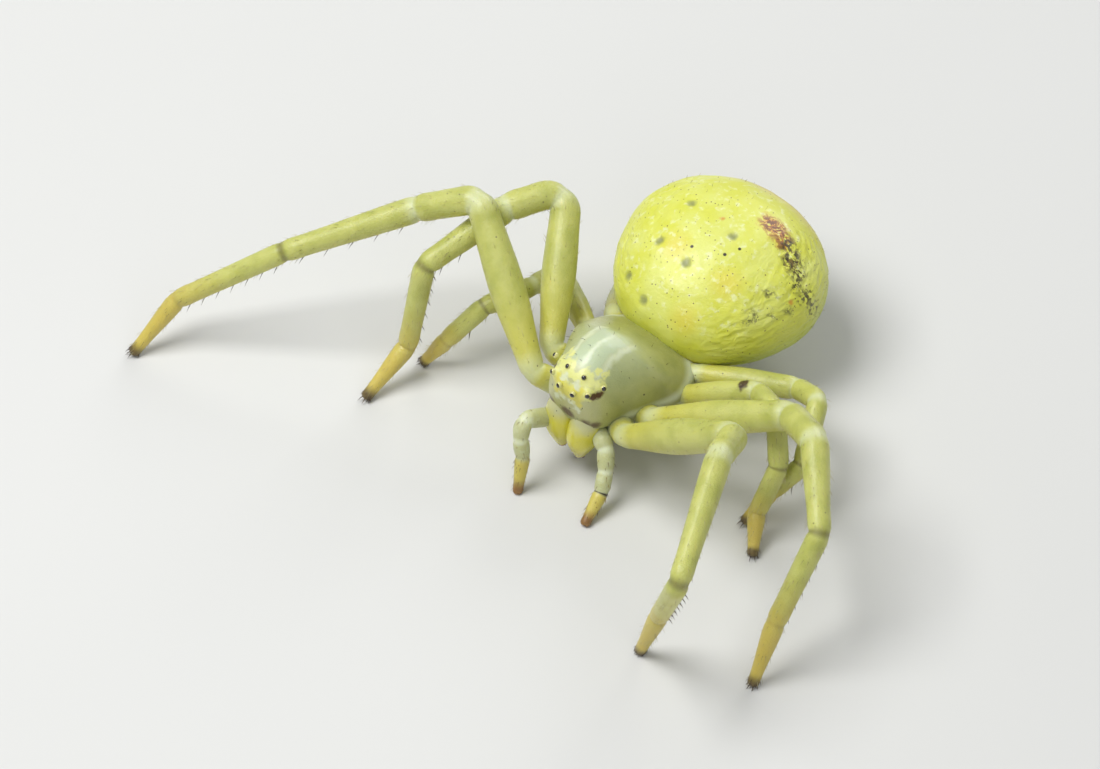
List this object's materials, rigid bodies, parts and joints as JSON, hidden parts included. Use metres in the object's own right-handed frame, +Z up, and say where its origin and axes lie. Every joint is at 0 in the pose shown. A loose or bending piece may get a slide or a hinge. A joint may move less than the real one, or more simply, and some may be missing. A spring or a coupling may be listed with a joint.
{
  "type": "crab spider",
  "caption": "Still life-size model of a pale yellow-green crab spider, standing with its long front legs spread wide and its round abdomen raised behind.",
  "frame": {"origin": "floor point under the middle of the whole spider's bounding box, legs included", "axes": "+Z up off the floor, -Y the way the head faces, +X the spider's own left"},
  "size_m": [0.0187, 0.0139, 0.0055],
  "materials": {
    "thorax": "thin translucent grey-green shell, satin",
    "abdomen": "soft lemon-yellow skin, lightly wrinkled, satin",
    "leg": "translucent yellow-green, glossy",
    "foot": "translucent orange-yellow, satin",
    "jaw": "pale yellow, glossy",
    "eye": "polished near-black"
  },
  "bodies": {
    "root": {"carapace": "thorax", "sternum": "thorax", "abdomen": "abdomen", "spinnerets": "abdomen", "chelicera_left": "jaw", "palp_left": "leg", "palp_tip_left": "foot", "eye_front_middle_left": "eye", "eye_front_side_left": "eye", "eye_rear_middle_left": "eye", "eye_rear_side_left": "eye", "hip_left_1": "leg", "femur_left_1": "leg", "shin_left_1": "leg", "foot_left_1": "foot", "hip_left_2": "leg", "femur_left_2": "leg", "shin_left_2": "leg", "foot_left_2": "foot", "hip_left_3": "leg", "femur_left_3": "leg", "shin_left_3": "leg", "foot_left_3": "foot", "hip_left_4": "leg", "femur_left_4": "leg", "shin_left_4": "leg", "foot_left_4": "foot", "chelicera_right": "jaw", "palp_right": "leg", "palp_tip_right": "foot", "eye_front_middle_right": "eye", "eye_front_side_right": "eye", "eye_rear_middle_right": "eye", "eye_rear_side_right": "eye", "hip_right_1": "leg", "femur_right_1": "leg", "shin_right_1": "leg", "foot_right_1": "foot", "hip_right_2": "leg", "femur_right_2": "leg", "shin_right_2": "leg", "foot_right_2": "foot", "hip_right_3": "leg", "femur_right_3": "leg", "shin_right_3": "leg", "foot_right_3": "foot", "hip_right_4": "leg", "femur_right_4": "leg", "shin_right_4": "leg", "foot_right_4": "foot"}
  },
  "joints": []
}
